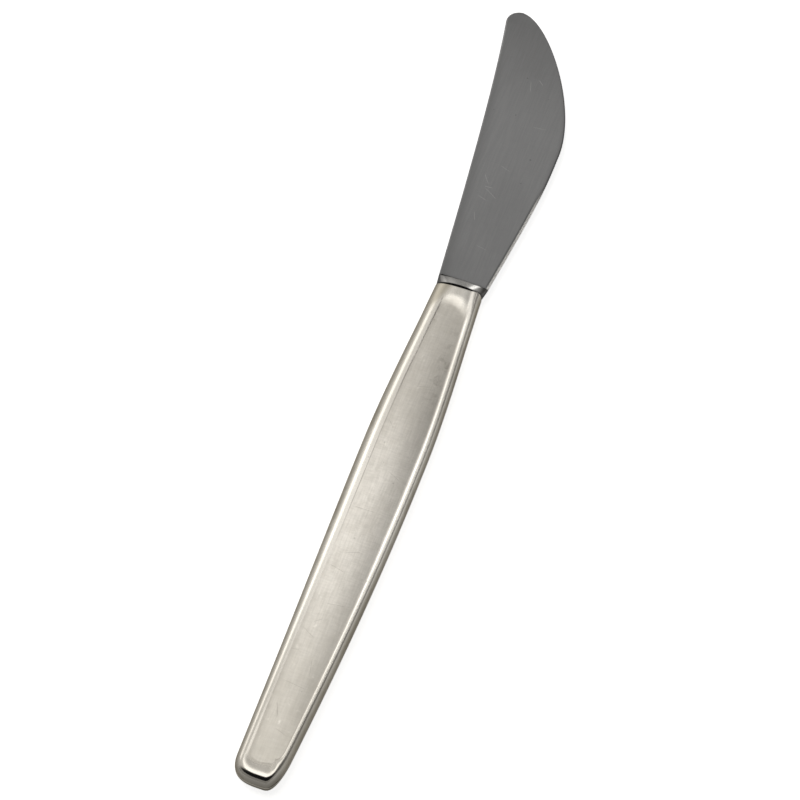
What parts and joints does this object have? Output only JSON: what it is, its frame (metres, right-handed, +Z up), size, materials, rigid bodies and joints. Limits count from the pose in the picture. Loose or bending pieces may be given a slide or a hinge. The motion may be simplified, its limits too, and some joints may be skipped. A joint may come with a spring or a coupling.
{
  "type": "table knife",
  "caption": "Table knife with a curved steel blade and a slim hollow silver handle, its satin panel framed by polished rims.",
  "frame": {"origin": "below the middle of the knife's box, on the surface that the knife lies on", "axes": "+X along the knife to the tip, +Y across it to the spine, +Z up out of the front of the handle"},
  "size_m": [0.2198, 0.0248, 0.0056],
  "materials": {
    "steel": "satin stainless steel",
    "silver": "silver, satin panel and polished rims",
    "solder": "silver solder, polished flush",
    "cement": "hard cutler's cement, matt"
  },
  "bodies": {
    "root": {"blade": "steel", "front_handle_half": "silver", "rear_handle_half": "silver", "solder_seam": "solder", "handle_filling": "cement"}
  },
  "joints": []
}
